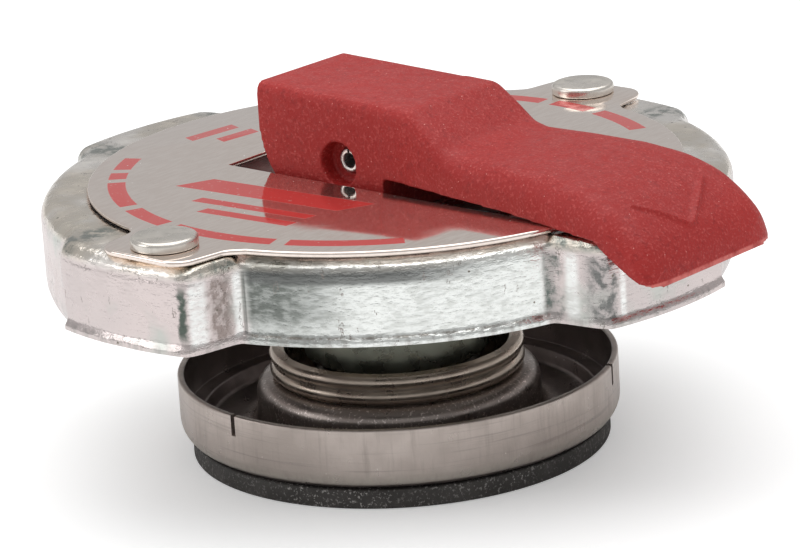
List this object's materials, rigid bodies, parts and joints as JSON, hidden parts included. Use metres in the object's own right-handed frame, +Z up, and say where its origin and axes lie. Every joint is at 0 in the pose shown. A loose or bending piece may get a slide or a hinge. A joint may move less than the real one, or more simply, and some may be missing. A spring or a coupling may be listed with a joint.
{
  "type": "radiator cap",
  "caption": "Pressed-steel radiator cap with locking tabs, spring-loaded pressure valve, vent valve and a red cam lever that lifts the valve to release pressure.",
  "frame": {"origin": "centre of the stem foot's underside, in the plane of the valve gasket's sealing face", "axes": "+Z up the cap's axis towards the lever; +X along the lever's handle; the two rivets lie on Y"},
  "size_m": [0.0805, 0.0754, 0.0392],
  "materials": {
    "zinc_plated_steel": "bright zinc plate, slightly grainy",
    "label_steel": "satin grey sheet with a red printed pattern",
    "rivet_steel": "plain",
    "red_plastic": "fine-textured moulding",
    "pin_steel": "dark rolled steel",
    "dull_plated_steel": "dull plated pressing",
    "bronze_tinted_steel": "dull bronze tint",
    "green_tinted_steel": "dull green tint",
    "bright_steel": "plain",
    "spring_steel": "dark spring wire",
    "vent_brass": "plain",
    "black_rubber": "matte with pale specks"
  },
  "bodies": {
    "cap": {"shell": "zinc_plated_steel", "label_plate": "label_steel", "rivet_front": "rivet_steel", "rivet_rear": "rivet_steel", "wear_plate": "bright_steel", "spring_disc": "bright_steel", "upper_gasket": "black_rubber", "bell": "green_tinted_steel", "spring_washer": "bright_steel", "seal_cup": "bright_steel", "stem_seal": "black_rubber", "pressure_spring": "spring_steel"},
    "stem": {"stem": "bright_steel"},
    "lever": {"lever": "red_plastic", "pivot_pin": "pin_steel"},
    "spring_seat": {"spring_seat": "bronze_tinted_steel"},
    "valve": {"valve_plate": "dull_plated_steel", "valve_gasket": "black_rubber", "gasket_retainer": "dull_plated_steel"},
    "vent": {"vacuum_valve": "vent_brass", "vacuum_seal": "black_rubber"}
  },
  "joints": [
    {"name": "stem_lift", "type": "slide", "parent": "cap", "child": "stem", "axis": [0, 0, 1], "range_m": [0, 0.0056], "stiffness_N_per_m": 8000, "springref_m": -0.0148, "deforming": ["pressure_spring"]},
    {"name": "lever_swing", "type": "hinge", "parent": "stem", "child": "lever", "pos_m": [0, 0, 0.0317], "axis": [0, -1, 0], "range_deg": [0, 90]},
    {"name": "relief", "type": "slide", "parent": "stem", "child": "spring_seat", "axis": [0, 0, 1], "range_m": [0, 0.001], "stiffness_N_per_m": 8000, "springref_m": -0.0148},
    {"name": "valve_swivel", "type": "hinge", "parent": "spring_seat", "child": "valve", "pos_m": [0, 0, 0.005], "axis": [0, 0, 1], "continuous": true},
    {"name": "vent_slide", "type": "slide", "parent": "stem", "child": "vent", "axis": [0, 0, 1], "range_m": [0, 0.0005]}
  ],
  "couplings": [
    {"joint": "lever_swing", "follows": "stem_lift", "rad_per_m": 280.5}
  ]
}
